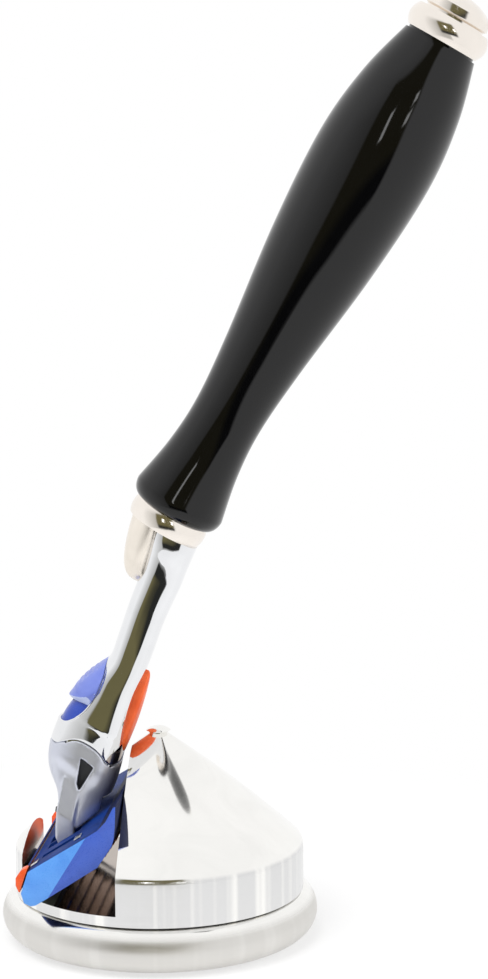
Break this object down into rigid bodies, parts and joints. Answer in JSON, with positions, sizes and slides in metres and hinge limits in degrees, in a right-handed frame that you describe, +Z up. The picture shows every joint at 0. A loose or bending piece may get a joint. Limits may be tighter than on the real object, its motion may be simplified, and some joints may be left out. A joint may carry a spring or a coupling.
{
  "type": "razor stand",
  "caption": "Polished cone stand with a straight slot that holds a leaning cartridge razor with a turned handle, release button and pivoting blade head.",
  "frame": {"origin": "middle of the stand's underside, on the table", "axes": "+Z up, +X the way the handle leans, slot and blades along Y"},
  "size_m": [0.0839, 0.0548, 0.1611],
  "materials": {
    "polished_steel": "mirror polished",
    "zinc_steel": "plated",
    "pad_rubber": "matt",
    "black_resin": "polished",
    "tube_brass": "plain",
    "bright_chrome": "bright plated",
    "satin_silver": "satin",
    "orange_rubber": "soft",
    "button_blue": "gloss",
    "deep_blue": "gloss",
    "spring_steel": "drawn wire",
    "dark_plastic": "moulded",
    "grey_plastic": "moulded",
    "frame_blue": "moulded",
    "blade_steel": "ground",
    "orange_plastic": "moulded",
    "guard_rubber": "ribbed",
    "strip_gel": "waxy",
    "clip_metal": "bright"
  },
  "bodies": {
    "stand": {"base_disc": "polished_steel", "cone_body": "polished_steel", "base_screw": "zinc_steel", "foot_pad": "pad_rubber"},
    "cartridge": {"cartridge_frame": "frame_blue", "blade_1": "blade_steel", "blade_2": "blade_steel", "blade_3": "blade_steel", "blade_4": "blade_steel", "blade_5": "blade_steel", "trimmer_blade": "blade_steel", "trimmer_guard": "orange_plastic", "guard_strip": "guard_rubber", "lube_strip": "strip_gel", "clip_near": "clip_metal", "clip_far": "clip_metal"},
    "yoke": {"yoke": "grey_plastic", "pivot_pins": "spring_steel"},
    "handle": {"handle_grip": "black_resin", "handle_tube": "tube_brass", "end_bead": "bright_chrome", "end_finial": "bright_chrome", "collar": "bright_chrome", "neck_shroud": "satin_silver", "neck": "bright_chrome", "grip_pad": "orange_rubber", "button_bed": "deep_blue", "button_spring": "spring_steel", "plunger_spring": "spring_steel"},
    "button": {"release_button": "button_blue"},
    "ejector": {"ejector": "dark_plastic"},
    "plunger": {"plunger": "dark_plastic"}
  },
  "joints": [
    {"name": "razor_lift", "type": "slide", "parent": "stand", "child": "cartridge", "axis": [0, 0, 1], "range_m": [0, 0.05]},
    {"name": "cartridge_pivot", "type": "hinge", "parent": "cartridge", "child": "yoke", "pos_m": [-0.01429, 0, 0.01779], "axis": [0, -1, 0], "range_deg": [0, 40], "stiffness_Nm_per_rad": 0.02},
    {"name": "cartridge_release", "type": "slide", "parent": "yoke", "child": "handle", "axis": [0.2079, 0, 0.9781], "range_m": [0, 0.018]},
    {"name": "button_push", "type": "slide", "parent": "handle", "child": "button", "axis": [-0.7314, 0, -0.682], "range_m": [0, 0.0022], "stiffness_N_per_m": 600, "springref_m": -0.001, "deforming": ["button_spring"]},
    {"name": "ejector_slide", "type": "slide", "parent": "handle", "child": "ejector", "axis": [-0.2079, 0, -0.9781], "range_m": [0, 0.0027]},
    {"name": "plunger_slide", "type": "slide", "parent": "handle", "child": "plunger", "axis": [0.2079, 0, 0.9781], "range_m": [0, 0.0015], "deforming": ["plunger_spring"]}
  ],
  "couplings": [
    {"joint": "ejector_slide", "follows": "button_push", "ratio": 1.2208},
    {"joint": "plunger_slide", "follows": "cartridge_pivot", "m_per_rad": 0.00212}
  ]
}
